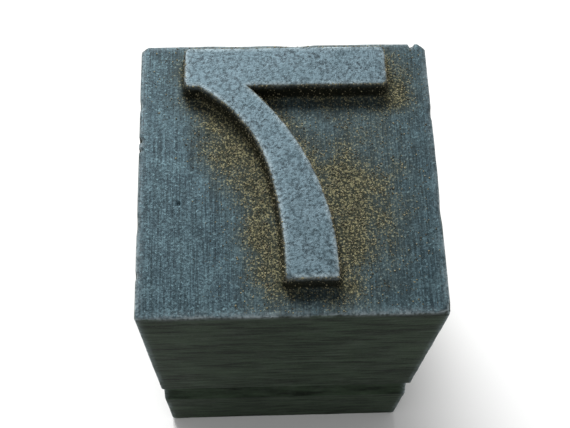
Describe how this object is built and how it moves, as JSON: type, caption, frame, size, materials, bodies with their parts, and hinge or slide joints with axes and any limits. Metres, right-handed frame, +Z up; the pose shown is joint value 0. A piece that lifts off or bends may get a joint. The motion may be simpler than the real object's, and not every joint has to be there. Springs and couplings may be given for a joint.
{
  "type": "metal type sort",
  "caption": "Cast metal printing type sort: square shank on grooved feet, a nick across the belly, and a reversed drafted figure 7 in relief on its shoulder.",
  "frame": {"origin": "centre of the feet, on the surface that the sort stands on", "axes": "+Z up from the feet to the printing face, +X to the right and +Y to the back when the belly with the nick faces the viewer at -Y"},
  "size_m": [0.0148, 0.0148, 0.0233],
  "materials": {
    "type_metal": "matte"
  },
  "bodies": {
    "root": {"type_sort": "type_metal"}
  },
  "joints": []
}
